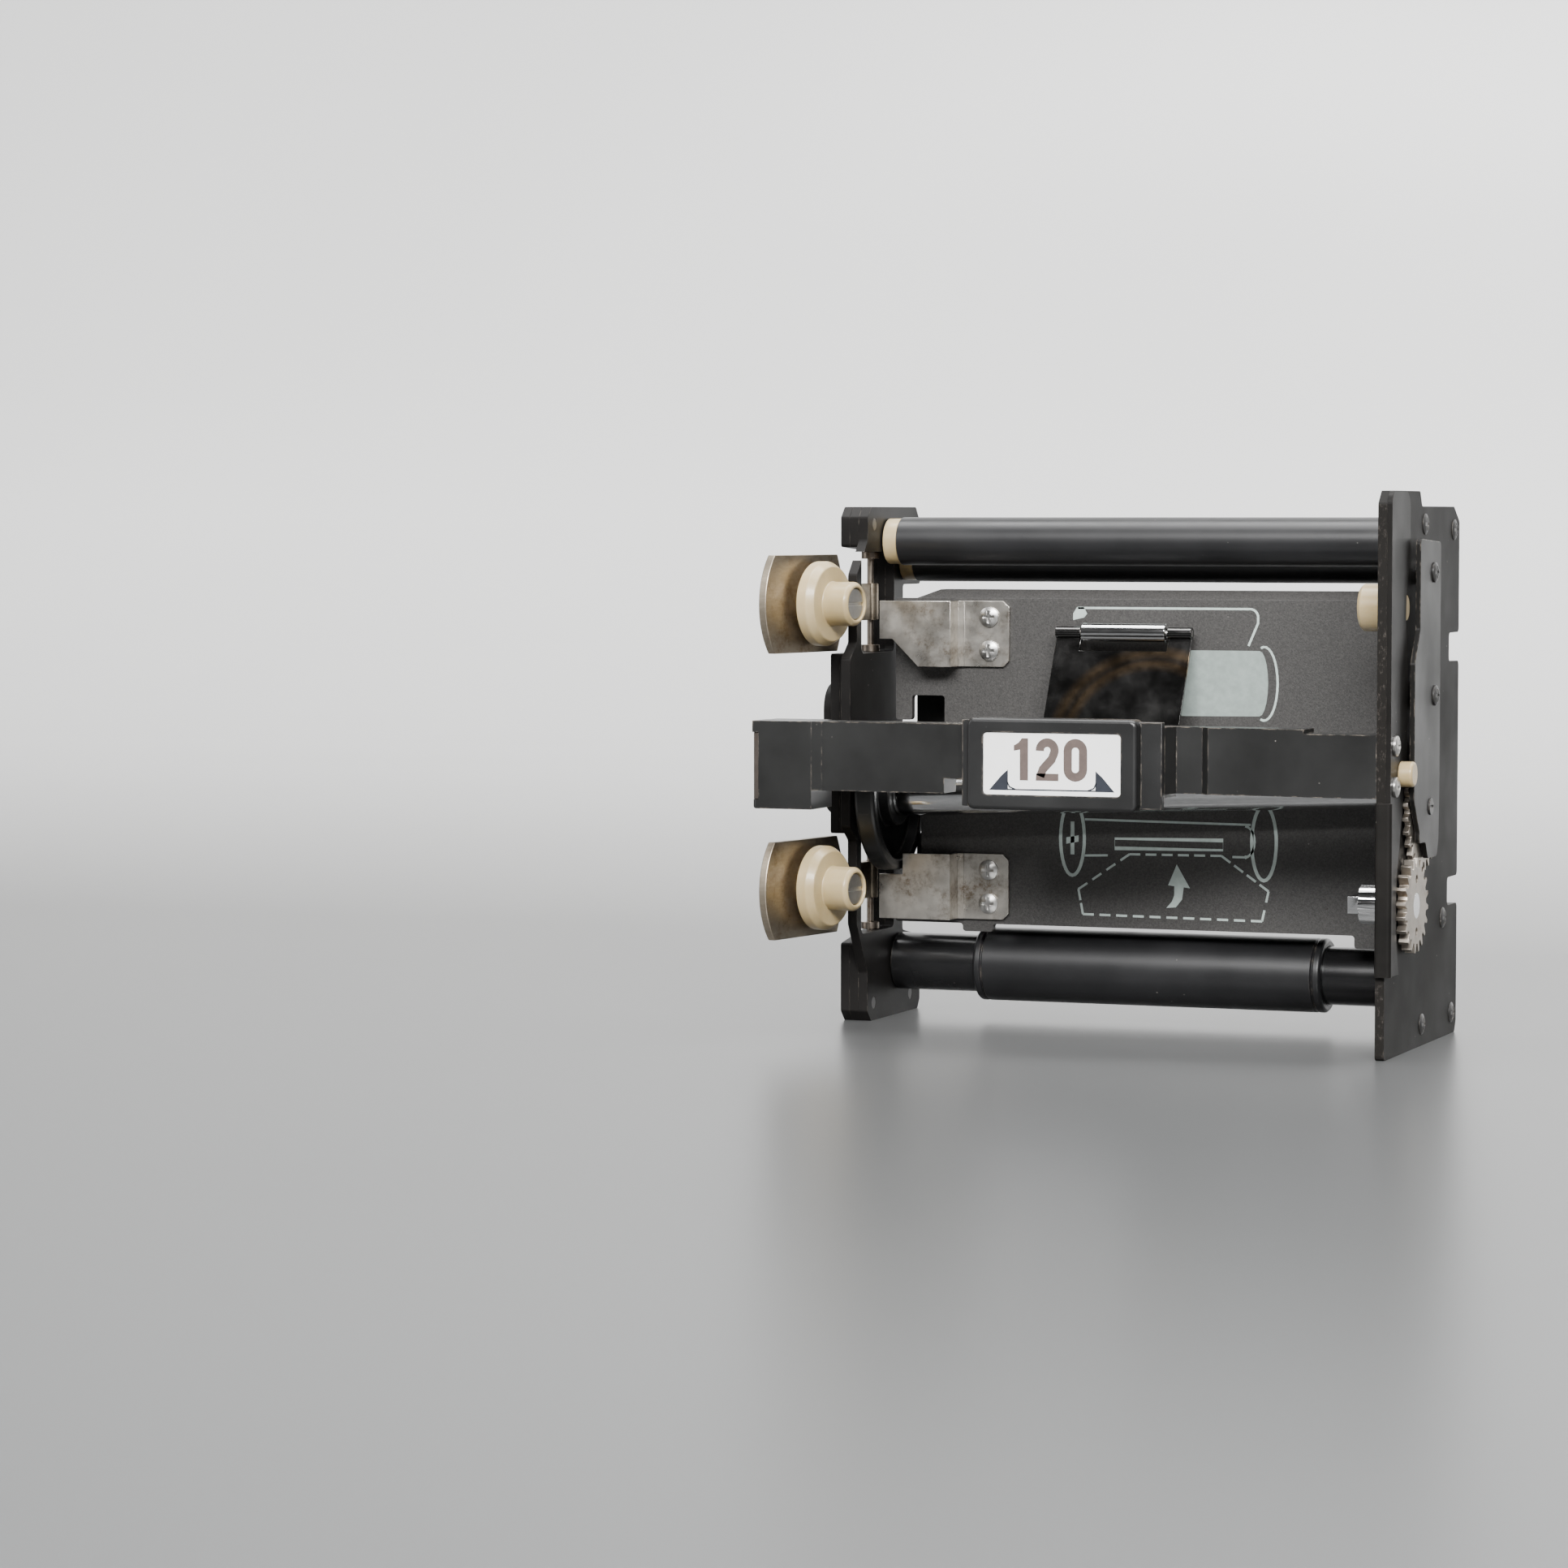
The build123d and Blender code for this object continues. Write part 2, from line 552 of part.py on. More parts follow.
# ---- Rollers on fixed shafts between the side plates
ring_t = 1.8
roller_left = -inner_x + 0.15
roller_right = inner_x - 0.15
for y, z, r in (top_front, top_rear, bottom):
    left_inner -= rod_x(layer_x[1] - 1, layer_x[0] + 1, y, z, shaft_r)
for name, (y, z, r) in (("top_front", top_front), ("top_rear", top_rear)):
    tube = rod_x(roller_left + ring_t, roller_right - ring_t, y, z, r)
    tube -= rod_x(roller_left, roller_right, y, z, r - 0.8)
    rings = []
    for x0, x1, plug in ((roller_left, roller_left + ring_t, 1), (roller_right - ring_t, roller_right, -1)):
        ring = rod_x(x0, x1, y, z, r - 0.15)
        start = x1 if plug > 0 else x0 - 2
        ring += rod_x(start, start + 2, y, z, r - 0.8)
        rings.append(ring - rod_x(x0 - 4, x1 + 4, y, z, shaft_r + run_gap))
    parts[name + "_roller"] = tube
    parts[name + "_end_rings"] = Compound(rings)
    parts[name + "_shaft"] = rod_x(layer_x[1], shaft_end, y, z, shaft_r)

bottom_y, bottom_z, bottom_r = bottom
sleeve_left = -23.6
sleeve_right = 21.4
bottom_core = rod_x(roller_left, roller_right, bottom_y, bottom_z, bottom_r)
bottom_core -= rod_x(roller_left - 1, roller_right + 1, bottom_y, bottom_z, shaft_r + run_gap)
sleeve = rod_x(sleeve_left, sleeve_right, bottom_y, bottom_z, sleeve_r)
sleeve = chamfer(sleeve.edges().filter_by(GeomType.CIRCLE), 0.3)
for x in (sleeve_left + 1.1, sleeve_right - 1.1):
    groove = rod_x(x - 0.12, x + 0.12, bottom_y, bottom_z, sleeve_r + 1)
    sleeve -= groove - rod_x(x - 1, x + 1, bottom_y, bottom_z, sleeve_r - 0.25)
sleeve -= rod_x(sleeve_left - 1, sleeve_right + 1, bottom_y, bottom_z, bottom_r)

# ---- Winding bar and thumbwheel
wheel_start = 0.6
wheel = along_bar(wheel_start, wheel_start + wheel_t, wheel_r)
wheel = chamfer(wheel.edges().filter_by(GeomType.CIRCLE), 0.25)
dish = along_bar(wheel_start + 1.0, wheel_start + wheel_t + 1, wheel_r - 1.3)
wheel -= dish
axle_r = 1.5
wheel += along_bar(wheel_start + 0.9, wheel_start + wheel_t, bar_r + 1.2)
wheel -= along_bar(0, wheel_start + wheel_t + 1, axle_r)
winding_bar = along_bar(wheel_start + wheel_t, bar_length - 0.4, bar_r)
winding_bar += along_bar(-layer_t + 0.2, wheel_start + wheel_t + 1, axle_r)
winding_bar += along_bar(bar_length - 1, bar_end, axle_r)
left_inner -= along_bar(-layer_t - 1, 1, axle_r + run_gap)

# ---- Handle: a cast bar, a framed grip with its film-size plate, and a catch in the left end
arm_step = 0.9
left_end = -42.9
left_block_right = -35.2
right_block_left = 28.2
handle_profile = [
    (left_end, 0), (left_block_right, 0), (left_block_right + 1.0, arm_step), (-19, arm_step - 0.3),
    (grip_left, arm_step - 0.8), (9.4, arm_step - 0.8), (10.2, 2.2), (13.4, 2.2), (14.4, 1.0), (21.4, 1.0),
    (right_block_left, 0), (inner_x, 0), (inner_x, handle_depth), (left_end, handle_depth),
]
handle = extrude(make_face(Polyline(*handle_profile, close=True)), amount=handle_high - handle_low)
handle = Pos(0, 0, handle_low) * handle
handle -= block(-18.3, grip_left - 1.1, -3, handle_depth + 1, handle_low - 1, handle_low + 1.8)
handle -= block(grip_right + 2.6, inner_x + 1, -3, handle_depth + 1, handle_low - 1, handle_low + 0.5)
handle -= block(right_block_left - 2, inner_x + 1, -3, handle_depth + 1, handle_high - 0.5, handle_high + 1)
left_block = block(left_end, left_block_right, 0, 7.0, 27.7, handle_high)
handle += fillet(left_block.edges().group_by(Axis.X)[0], 0.5)
strut = block(boss_out - 2.4, boss_out, handle_depth - 1, 26.8, 29.2, 36.4)
handle += fillet(strut.edges().filter_by(Axis.Z).group_by(Axis.Y)[-1], 1.0)
handle -= block(left_end - 1, left_end + 0.8, -1, 3.2, 28.8, 37.0)
for y, z in handle_screws:
    handle -= rod_x(inner_x - 4, inner_x + 1, y, z, shank_r)
for y, z in boss_rivets:
    handle -= rod_x(boss_out - 1.0, boss_out + 1, y, z, 1.4)
catch = block(left_end + 0.1, left_end + 0.8, 0.2, 3.2, 28.8, 37.0)

grip = block(grip_left, grip_right, grip_front, arm_step - 0.8, grip_low, grip_high)
grip = fillet(grip.edges().filter_by(Axis.Y), 0.9)
grip = fillet(grip.edges().group_by(Axis.Y)[0], 0.5)
flange_front = grip_front + 1.6
for x0, x1 in ((grip_left - 1.1, grip_left + 0.5), (grip_right - 0.5, grip_right + 2.6)):
    grip += block(x0, x1, flange_front, arm_step - 0.8, grip_low + 0.3, grip_high - 0.3)
label_left = -12.3
label_right = 4.8
label_low = 30.2
label_high = 37.6
label_t = 0.5
label_front = grip_front + 0.15
pocket = block(label_left, label_right, grip_front - 1, label_front + label_t, label_low, label_high)
pocket = fillet(pocket.edges().filter_by(Axis.Y), 0.5)
grip -= pocket
label = pocket & block(label_left, label_right, label_front, label_front + label_t, label_low, label_high)

parts["left_inner_plate"] = left_inner
parts["right_side_plate"] = right_plate
parts["back_panel"] = panel
parts["hold_down_screws"] = Compound(pad_screws)
parts["tension_spring_foot"] = tension_foot
parts["tension_spring_leaf"] = tension_leaf
parts["tension_screws"] = Compound(tension_screws)
parts["tension_pin"] = tension_pin
parts["tension_roller"] = tension_roller
parts["pressure_plate"] = pressure_plate
parts["pressure_guide_posts"] = Compound(guide_posts)
parts["pressure_guide_pins"] = Compound(guide_pins)
parts["pressure_springs"] = pressure_springs
parts["bottom_shaft"] = rod_x(layer_x[1], shaft_end, bottom_y, bottom_z, shaft_r)
parts["bottom_roller"] = bottom_core
parts["bottom_roller_sleeve"] = sleeve
parts["thumbwheel"] = wheel
parts["winding_bar"] = winding_bar
parts["handle"] = handle
parts["handle_catch"] = catch
parts["handle_grip"] = grip
parts["film_size_plate"] = label

# ---- Move the origin to the middle of the base, and write each piece
whole = Compound([piece for piece in parts.values()]).bounding_box()
middle_x = (whole.min.X + whole.max.X) / 2
middle_y = (whole.min.Y + whole.max.Y) / 2
print("origin shift", -middle_x, -middle_y, "size", whole.size)
os.makedirs("parts", exist_ok=True)
for name, piece in parts.items():
    export_step(Pos(-middle_x, -middle_y, 0) * piece, f"parts/{name}.step")
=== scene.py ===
import bmesh
import bpy
import json
import math
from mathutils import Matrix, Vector


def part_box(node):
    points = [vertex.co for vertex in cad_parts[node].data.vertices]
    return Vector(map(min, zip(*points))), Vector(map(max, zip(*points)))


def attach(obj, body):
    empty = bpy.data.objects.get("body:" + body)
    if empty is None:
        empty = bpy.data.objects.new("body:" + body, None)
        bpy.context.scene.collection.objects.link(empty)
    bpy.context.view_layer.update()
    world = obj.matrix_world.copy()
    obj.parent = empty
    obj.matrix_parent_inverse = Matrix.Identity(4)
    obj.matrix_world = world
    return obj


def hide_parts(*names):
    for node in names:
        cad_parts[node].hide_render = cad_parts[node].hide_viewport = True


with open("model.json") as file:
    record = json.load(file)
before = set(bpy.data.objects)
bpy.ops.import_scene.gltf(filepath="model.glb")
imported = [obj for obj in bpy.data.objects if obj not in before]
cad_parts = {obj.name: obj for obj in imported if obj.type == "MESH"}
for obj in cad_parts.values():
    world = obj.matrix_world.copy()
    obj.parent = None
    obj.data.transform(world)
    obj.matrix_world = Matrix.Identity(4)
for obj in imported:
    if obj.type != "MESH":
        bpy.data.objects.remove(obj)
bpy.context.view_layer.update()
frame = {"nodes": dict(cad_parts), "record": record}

mm = 0.001


def nodeBox(name):
    low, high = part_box(name)
    return Vector(low), Vector(high)


# a shader, and the small node chains that the finishes share
def newMaterial(name, colour, rough=0.5, metal=0.0, coat=0.0, specular=0.5):
    mat = bpy.data.materials.new(name)
    mat.use_nodes = True
    tree = mat.node_tree
    shader = tree.nodes["Principled BSDF"]
    shader.inputs["Base Color"].default_value = (*colour, 1)
    shader.inputs["Roughness"].default_value = rough
    shader.inputs["Metallic"].default_value = metal
    shader.inputs["Coat Weight"].default_value = coat
    shader.inputs["Specular IOR Level"].default_value = specular
    coords = tree.nodes.new("ShaderNodeTexCoord")
    return mat, tree, shader, coords.outputs["Object"]


# object coordinates drawn out along one axis, for brushing and wiping marks
def stretched(tree, coords, scale):
    mapping = tree.nodes.new("ShaderNodeMapping")
    mapping.inputs["Scale"].default_value = scale
    tree.links.new(coords, mapping.inputs["Vector"])
    return mapping.outputs["Vector"]


def noise(tree, coords, scale, detail=4.0, rough=0.6):
    node = tree.nodes.new("ShaderNodeTexNoise")
    node.inputs["Scale"].default_value = scale
    node.inputs["Detail"].default_value = detail
    node.inputs["Roughness"].default_value = rough
    tree.links.new(coords, node.inputs["Vector"])
    return node.outputs["Fac"]


def ramp(tree, source, stops):
    node = tree.nodes.new("ShaderNodeValToRGB")
    while len(node.color_ramp.elements) < len(stops):
        node.color_ramp.elements.new(0.5)
    for element, (place, colour) in zip(node.color_ramp.elements, stops):
        element.position = place
        element.color = (*colour, 1) if len(colour) == 3 else (colour[0], colour[0], colour[0], 1)
    tree.links.new(source, node.inputs["Fac"])
    return node.outputs["Color"]


def mixColour(tree, factor, first, second):
    node = tree.nodes.new("ShaderNodeMix")
    node.data_type = "RGBA"
    sockets = {socket.identifier: socket for socket in node.inputs}
    tree.links.new(factor, sockets["Factor_Float"])
    for socket, value in ((sockets["A_Color"], first), (sockets["B_Color"], second)):
        if hasattr(value, "links"):
            tree.links.new(value, socket)
        else:
            socket.default_value = (*value, 1)
    return [s for s in node.outputs if s.identifier == "Result_Color"][0]


def bump(tree, shader, source, strength, distance):
    node = tree.nodes.new("ShaderNodeBump")
    node.inputs["Strength"].default_value = strength
    node.inputs["Distance"].default_value = distance
    tree.links.new(source, node.inputs["Height"])
    if shader.inputs["Normal"].links:
        tree.links.new(shader.inputs["Normal"].links[0].from_socket, node.inputs["Normal"])
    tree.links.new(node.outputs["Normal"], shader.inputs["Normal"])


# one sum on two numbers or sockets
def calculate(tree, operation, first, second):
    node = tree.nodes.new("ShaderNodeMath")
    node.operation = operation
    for socket, value in zip(node.inputs, (first, second)):
        if hasattr(value, "links"):
            tree.links.new(value, socket)
        else:
            socket.default_value = value
    return node.outputs["Value"]


# falls below 1 along sharp edges, where paint rubs through
def edgeMask(tree, radius):
    bevel = tree.nodes.new("ShaderNodeBevel")
    bevel.samples = 4
    bevel.inputs["Radius"].default_value = radius
    geometry = tree.nodes.new("ShaderNodeNewGeometry")
    dot = tree.nodes.new("ShaderNodeVectorMath")
    dot.operation = "DOT_PRODUCT"
    tree.links.new(bevel.outputs["Normal"], dot.inputs[0])
    tree.links.new(geometry.outputs["Normal"], dot.inputs[1])
    return dot.outputs["Value"]


# fine pale dust over a dark finish
def dustSpecks(tree, coords, shader, base, amount=0.5):
    cells = tree.nodes.new("ShaderNodeTexVoronoi")
    cells.inputs["Scale"].default_value = 520
    tree.links.new(coords, cells.inputs["Vector"])
    small = ramp(tree, cells.outputs["Distance"], [(0.035, (amount,)), (0.06, (0,))])
    patches = ramp(tree, noise(tree, coords, 90, 2), [(0.5, (0,)), (0.62, (1,))])
    shown = calculate(tree, "MULTIPLY", small, patches)
    tree.links.new(mixColour(tree, shown, base, (0.34, 0.32, 0.29)), shader.inputs["Base Color"])


# black enamel: orange peel, rubbed edges and dust
def enamel(name, colour, rough, peel, dust=0.5, worn=(0.2, 0.17, 0.14), edge=0.00022, shine=0.5):
    mat, tree, shader, coords = newMaterial(name, colour, rough, specular=shine)
    tone = ramp(tree, noise(tree, coords, 140, 5), [(0.3, colour), (0.75, tuple(c * 1.9 for c in colour))])
    edges = ramp(tree, edgeMask(tree, edge), [(0.86, (1,)), (0.97, (0,))])
    patchy = ramp(tree, noise(tree, coords, 700, 5, 0.75), [(0.47, (0,)), (0.6, (1,))])
    rubbed = calculate(tree, "MULTIPLY", edges, patchy)
    dustSpecks(tree, coords, shader, mixColour(tree, rubbed, tone, worn), dust)
    gloss = ramp(tree, noise(tree, coords, 60, 3), [(0.3, (rough - 0.05,)), (0.7, (rough + 0.1,))])
    tree.links.new(gloss, shader.inputs["Roughness"])
    bump(tree, shader, noise(tree, coords, 2600, 2), peel, 0.00003)
    return mat


# adds the rough torn front edge of a stamped plate to an enamel, with painted glints as bright specks on its
# front-facing faces
def shearedEdgeWithGlints(mat):
    tree = mat.node_tree
    shader = tree.nodes["Principled BSDF"]
    coords = tree.nodes["Texture Coordinate"]
    split = tree.nodes.new("ShaderNodeSeparateXYZ")
    tree.links.new(coords.outputs["Normal"], split.inputs[0])
    front = calculate(tree, "LESS_THAN", split.outputs["Y"], -0.95)
    torn = noise(tree, stretched(tree, coords.outputs["Object"], (1, 1, 0.5)), 2600, 6, 0.8)
    # a dark torn edge whose bright specks are painted glints
    bright = ramp(tree, torn, [(0.55, (0.010, 0.009, 0.008)), (0.8, (0.11, 0.096, 0.085))])
    before = shader.inputs["Base Color"].links[0].from_socket
    tree.links.new(mixColour(tree, front, before, bright), shader.inputs["Base Color"])
    return mat


# dark grey crinkle paint with dark specks and a faint brown cast
def panelGrey():
    mat, tree, shader, coords = newMaterial("panelCrinkle", (0.06, 0.057, 0.053), 0.55)
    grain = ramp(tree, noise(tree, coords, 5200, 3, 0.7),
                 [(0.35, (0.018, 0.0168, 0.0158)), (0.7, (0.046, 0.0435, 0.041))])
    spots = ramp(tree, noise(tree, coords, 900, 4, 0.85), [(0.66, (0,)), (0.7, (0.85,))])
    dustSpecks(tree, coords, shader, mixColour(tree, spots, grain, (0.012, 0.009, 0.007)), 0.35)
    bump(tree, shader, noise(tree, coords, 4200, 3, 0.7), 0.45, 0.00006)
    return mat


# bare metal: brushing, finger marks, and stains or pits where wanted
def metal(name, colour, rough, stain=None, stainAt=(0.5, 0.68), brush=(1, 1, 1), marks=0.12, pits=0.0):
    mat, tree, shader, coords = newMaterial(name, colour, rough, 1.0)
    drawn = stretched(tree, coords, brush)
    tone = ramp(tree, noise(tree, drawn, 900, 4), [(0.3, tuple(c * 0.82 for c in colour)), (0.7, colour)])
    if stain:
        blot = ramp(tree, noise(tree, coords, 230, 7, 0.72), [(stainAt[0], (0,)), (stainAt[1], (0.85,))])
        fine = ramp(tree, noise(tree, coords, 1900, 5, 0.7), [(0.42, (0.35,)), (0.6, (1,))])
        tone = mixColour(tree, calculate(tree, "MULTIPLY", blot, fine), tone, stain)
    if pits:
        dots = ramp(tree, noise(tree, coords, 1500, 5, 0.8), [(0.7, (0,)), (0.73, (pits,))])
        tone = mixColour(tree, dots, tone, (0.07, 0.045, 0.03))
    tree.links.new(tone, shader.inputs["Base Color"])
    wiped = ramp(tree, noise(tree, drawn, 320, 5), [(0.3, (rough,)), (0.75, (rough + marks,))])
    tree.links.new(wiped, shader.inputs["Roughness"])
    bump(tree, shader, noise(tree, drawn, 1700, 3), 0.06, 0.00002)
    return mat


# centre and reach of the straw-coloured arc that is painted on the leaf as a reflection
reflectionArc = {"centre": (0.004, 0.004, 0.0335), "reach": 0.02, "straw": (0.62, 0.40, 0.19)}


# a straw-coloured arc painted across the polished leaf as a reflection
def paintedReflectionLeaf(mat):
    tree = mat.node_tree
    shader = tree.nodes["Principled BSDF"]
    coords = tree.nodes["Texture Coordinate"].outputs["Object"]
    reach = tree.nodes.new("ShaderNodeVectorMath")
    reach.operation = "DISTANCE"
    reach.inputs[1].default_value = reflectionArc["centre"]
    tree.links.new(coords, reach.inputs[0])
    away = calculate(tree, "MULTIPLY", reach.outputs["Value"], 1 / reflectionArc["reach"])
    reflectionBand = ramp(tree, away, [(0.54, (0,)), (0.59, (0.42,)), (0.615, (0.1,)), (0.65, (0.4,)), (0.70, (0,))])
    before = shader.inputs["Base Color"].links[0].from_socket
    tree.links.new(mixColour(tree, reflectionBand, before, reflectionArc["straw"]), shader.inputs["Base Color"])
    return mat


def agedNylon():
    mat, tree, shader, coords = newMaterial("agedNylon", (0.46, 0.365, 0.21), 0.36, coat=0.15)
    tone = ramp(tree, noise(tree, coords, 110, 4), [(0.3, (0.34, 0.255, 0.125)), (0.7, (0.46, 0.365, 0.21))])
    tree.links.new(tone, shader.inputs["Base Color"])
    shader.inputs["Subsurface Weight"].default_value = 0.25
    shader.inputs["Subsurface Radius"].default_value = (0.0016, 0.0011, 0.0006)
    bump(tree, shader, noise(tree, coords, 900, 3), 0.08, 0.00003)
    return mat


# screen-printed ink, slightly uneven
def printInk(name, colour, rough=0.5):
    mat, tree, shader, coords = newMaterial(name, colour, rough)
    tone = ramp(tree, noise(tree, coords, 1100, 4), [(0.35, tuple(c * 0.82 for c in colour)), (0.7, colour)])
    tree.links.new(tone, shader.inputs["Base Color"])
    bump(tree, shader, noise(tree, coords, 3800, 2), 0.15, 0.00003)
    return mat


def labelPlate():
    mat, tree, shader, coords = newMaterial("labelPlate", (0.93, 0.93, 0.92), 0.3, coat=0.3)
    tone = ramp(tree, noise(tree, coords, 260, 5), [(0.3, (0.90, 0.895, 0.88)), (0.7, (0.95, 0.95, 0.94))])
    tree.links.new(tone, shader.inputs["Base Color"])
    return mat


# one finish for each kind of material
finishes = {
    "black_paint": enamel("satinEnamel", (0.0065, 0.0065, 0.0063), 0.36, 0.2),
    "grip_black": enamel("mouldedBlack", (0.006, 0.006, 0.006), 0.34, 0.12, edge=0.0003),
    "panel_paint": panelGrey(),
    "roller_black": enamel("rollerSatin", (0.0055, 0.0055, 0.006), 0.36, 0.18, 0.3),
    "bare_steel": metal("stainedSteel", (0.42, 0.36, 0.28), 0.32, (0.12, 0.075, 0.04), (0.5, 0.7),
                        brush=(1, 1, 4), marks=0.15),
    "spring_steel": metal("polishedStrip", (0.25, 0.245, 0.24), 0.12, (0.30, 0.19, 0.09), (0.62, 0.8),
                          brush=(6, 1, 1)),
    "polished_chrome": metal("polishedChrome", (0.80, 0.80, 0.80), 0.07, brush=(1, 5, 5), marks=0.08,
                             pits=0.9),
    "nylon": agedNylon(),
    "gear_steel": metal("stampedSteel", (0.42, 0.38, 0.33), 0.36, (0.14, 0.085, 0.04), (0.5, 0.72)),
    "screw_steel": metal("brightNickel", (0.55, 0.54, 0.52), 0.26),
    "black_screws": enamel("blackenedSteel", (0.012, 0.0115, 0.011), 0.35, 0.1, edge=0.00012),
    "label_white": labelPlate(),
    "worn_copper": metal("wornCatch", (0.10, 0.085, 0.075), 0.42, (0.22, 0.09, 0.05), (0.58, 0.7), marks=0.2),
}

# finishes that several parts share but their material as a whole doesn't
layerEnamel = enamel("layerEnamel", (0.006, 0.0055, 0.0052), 0.42, 0.2, worn=(0.1, 0.088, 0.075),
                     edge=0.0001, shine=0.12)
stainedStrip = metal("stainedStrip", (0.60, 0.57, 0.52), 0.26, (0.16, 0.115, 0.07), (0.48, 0.64), marks=0.16)
hingePinSteel = metal("hingePinSteel", (0.26, 0.225, 0.19), 0.3, (0.10, 0.06, 0.03), marks=0.2)
shaftBlack = enamel("shaftBlack", (0.012, 0.0115, 0.011), 0.35, 0.1)
partFinish = {
    "right_side_plate": shearedEdgeWithGlints(enamel("platedEnamel", (0.0085, 0.008, 0.0074), 0.5, 0.2,
                                           worn=(0.09, 0.078, 0.066), edge=0.0001, shine=0.09)),
    "front_rail": enamel("railEnamel", (0.006, 0.0055, 0.005), 0.4, 0.15, worn=(0.08, 0.07, 0.06),
                         edge=0.00008, shine=0.13),
    "gear_cover": enamel("coverEnamel", (0.005, 0.0047, 0.0043), 0.36, 0.15, shine=0.16),
    "handle": enamel("handleEnamel", (0.007, 0.007, 0.0068), 0.33, 0.16, 0.7, edge=0.00025),
    "bottom_roller": enamel("rollerGloss", (0.005, 0.005, 0.0052), 0.2, 0.05, 0.2),
    "pressure_plate": enamel("pressureBlack", (0.004, 0.004, 0.004), 0.3, 0.05, 0.15),
    # the leaf's straw-coloured arc is a painted reflection
    "tension_spring_leaf": paintedReflectionLeaf(metal("polishedStripPaintedArc", (0.12, 0.118, 0.115), 0.1,
                                              (0.15, 0.12, 0.09), (0.6, 0.9))),
}
for shared, names in (
        (layerEnamel, ("left_inner_plate", "left_middle_plate", "left_outer_plate", "left_boss")),
        (stainedStrip, ("upper_hold_down_spring", "lower_hold_down_spring")),
        (hingePinSteel, ("upper_hinge_pin", "lower_hinge_pin")),
        (shaftBlack, ("top_front_shaft", "top_rear_shaft", "bottom_shaft", "idler_axle"))):
    for name in names:
        partFinish[name] = shared

slotOf = {row["node"]: row["material_slot"] for row in frame["record"]["subparts"]}
bodyOf = {name: body for body, names in frame["record"]["behaviour"]["bodies"].items() for name in names}


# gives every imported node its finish
def dressNodes():
    for name, node in frame["nodes"].items():
        mat = partFinish.get(name, finishes[slotOf[name]])
        if not node.material_slots:
            node.data.materials.append(mat)
        for place in node.material_slots:
            place.material = mat
    print("nodes dressed", len(frame["nodes"]))


dressNodes()

# width of the broken edge in millimetres; parts not named here get the first
softening = {"edge": 0.10, "side": 0.16, "moulded": 0.28, "thin": 0.05, "fine": 0.035,
             "angle": 32, "segments": 2}
softened = {
    "side": ("right_side_plate", "front_rail", "gear_cover", "left_inner_plate", "left_middle_plate",
             "left_outer_plate", "left_boss"),
    "moulded": ("handle", "bottom_roller_sleeve", "thumbwheel", "handle_grip"),
    "thin": ("back_panel", "upper_hold_down_spring", "lower_hold_down_spring", "pressure_springs",
             "takeup_key"),
    "fine": ("takeup_gear", "idler_gear", "film_size_plate", "rail_screws", "right_plate_screws",
             "cover_screws", "hold_down_screws", "tension_screws", "upper_cup_screw", "lower_cup_screw",
             "tension_pin", "tension_spring_leaf", "tension_spring_foot", "upper_hinge_pin",
             "lower_hinge_pin"),
}
edgeOf = {name: softening[kind] for kind, names in softened.items() for name in names}


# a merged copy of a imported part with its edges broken, so that they catch the light
def soften(name):
    source = frame["nodes"][name]
    build = bmesh.new()
    build.from_mesh(source.data)
    bmesh.ops.remove_doubles(build, verts=build.verts, dist=0.000002)
    bmesh.ops.dissolve_limit(build, angle_limit=math.radians(0.4), verts=build.verts, edges=build.edges)
    mesh = bpy.data.meshes.new(name + "_soft")
    build.to_mesh(mesh)
    build.free()
    mesh.materials.clear()
    mesh.materials.append(source.material_slots[0].material)
    mesh.set_sharp_from_angle(angle=math.radians(softening["angle"]))
    draft = bpy.data.objects.new(name + "_draft", mesh)
    bpy.context.collection.objects.link(draft)
    bevel = draft.modifiers.new("brokenEdge", "BEVEL")
    bevel.width = edgeOf.get(name, softening["edge"]) * mm
    bevel.segments = softening["segments"]
    bevel.limit_method = "ANGLE"
    bevel.angle_limit = math.radians(softening["angle"])
    bevel.miter_outer = "MITER_ARC"
    weighted = draft.modifiers.new("flatFaces", "WEIGHTED_NORMAL")
    weighted.keep_sharp = True
    ready = draft.evaluated_get(bpy.context.evaluated_depsgraph_get())
    final = bpy.data.meshes.new_from_object(ready)
    for face in final.polygons:
        face.use_smooth = True
    piece = bpy.data.objects.new(name + "_finished", final)
    bpy.context.collection.objects.link(piece)
    bpy.data.objects.remove(draft)
    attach(piece, bodyOf[name])
    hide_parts(name)


for name in list(frame["nodes"]):
    soften(name)
print("edges softened", len(frame["nodes"]))

# thin strips of print or plate, made from flat outlines; a point is (x, z), out is towards the viewer
def flatPiece(name, outlines, front, depth, mat, body):
    mesh = bpy.data.meshes.new(name)
    build = bmesh.new()
    for outline in outlines:
        near = [build.verts.new((x * mm, (front - depth) * mm, z * mm)) for x, z in outline]
        far = [build.verts.new((x * mm, front * mm, z * mm)) for x, z in outline]
        build.faces.new(near)
        build.faces.new(far[::-1])
        count = len(outline)
        for k in range(count):
            build.faces.new((near[k], far[k], far[(k + 1) % count], near[(k + 1) % count]))
    bmesh.ops.recalc_face_normals(build, faces=build.faces)
    build.to_mesh(mesh)
    build.free()
    piece = bpy.data.objects.new(name, mesh)
    bpy.context.collection.objects.link(piece)
    mesh.materials.append(mat)
    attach(piece, body)


